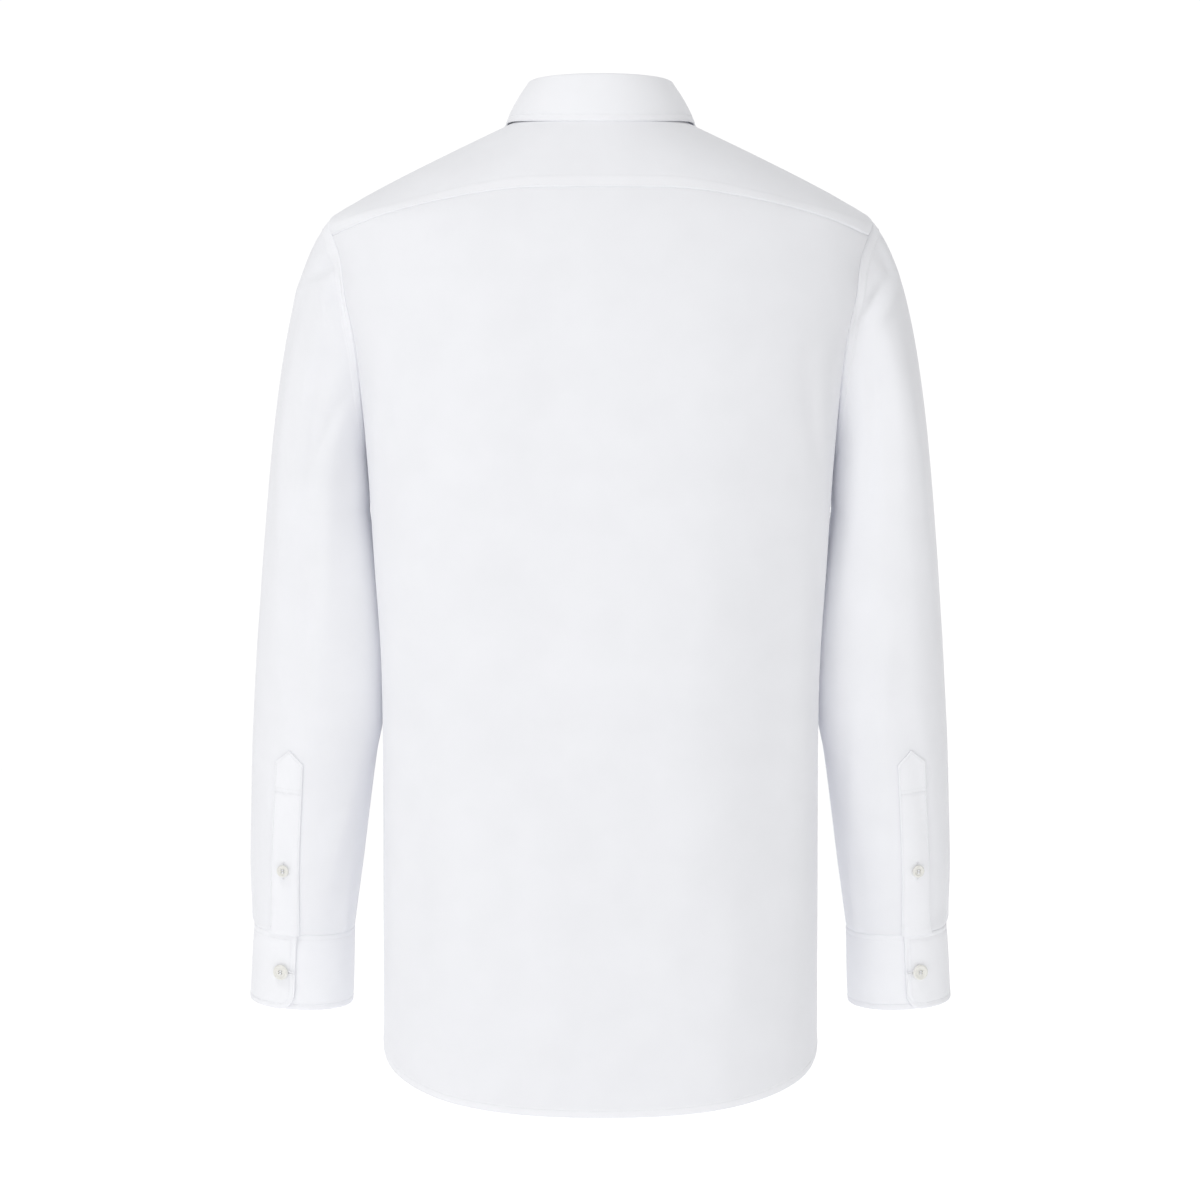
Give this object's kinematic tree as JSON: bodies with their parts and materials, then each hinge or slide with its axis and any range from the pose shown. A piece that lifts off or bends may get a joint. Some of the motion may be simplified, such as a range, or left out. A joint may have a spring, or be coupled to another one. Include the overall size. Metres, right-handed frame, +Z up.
{
  "type": "long sleeve dress shirt",
  "caption": "Long sleeve dress shirt, buttoned and filled out as when worn, with turn-down collar, back yoke, gauntlet plackets, button cuffs and a curved tail.",
  "frame": {"origin": "middle of the neck opening, level with the inner ends of the shoulders", "axes": "+Z up, +Y to the back of the shirt, +X to the wearer's left"},
  "size_m": [0.5844, 0.2469, 0.8326],
  "materials": {
    "shirting": "fine white cotton, matt with a faint sheen",
    "firm_shirting": "fine white cotton over a fused interlining",
    "button": "translucent white resin, softly glossy"
  },
  "bodies": {
    "root": {"back": "shirting", "yoke": "shirting", "front_left": "shirting", "front_right": "shirting", "front_placket": "shirting", "sleeve_left": "shirting", "sleeve_right": "shirting", "gauntlet_left": "shirting", "gauntlet_right": "shirting", "cuff_left": "firm_shirting", "cuff_right": "firm_shirting", "collar_stand": "firm_shirting", "collar_fall": "firm_shirting", "button_front_1": "button", "button_front_2": "button", "button_front_3": "button", "button_front_4": "button", "button_front_5": "button", "button_front_6": "button", "button_collar": "button", "button_gauntlet_left": "button", "button_gauntlet_right": "button", "button_cuff_left": "button", "button_cuff_right": "button"}
  },
  "joints": []
}
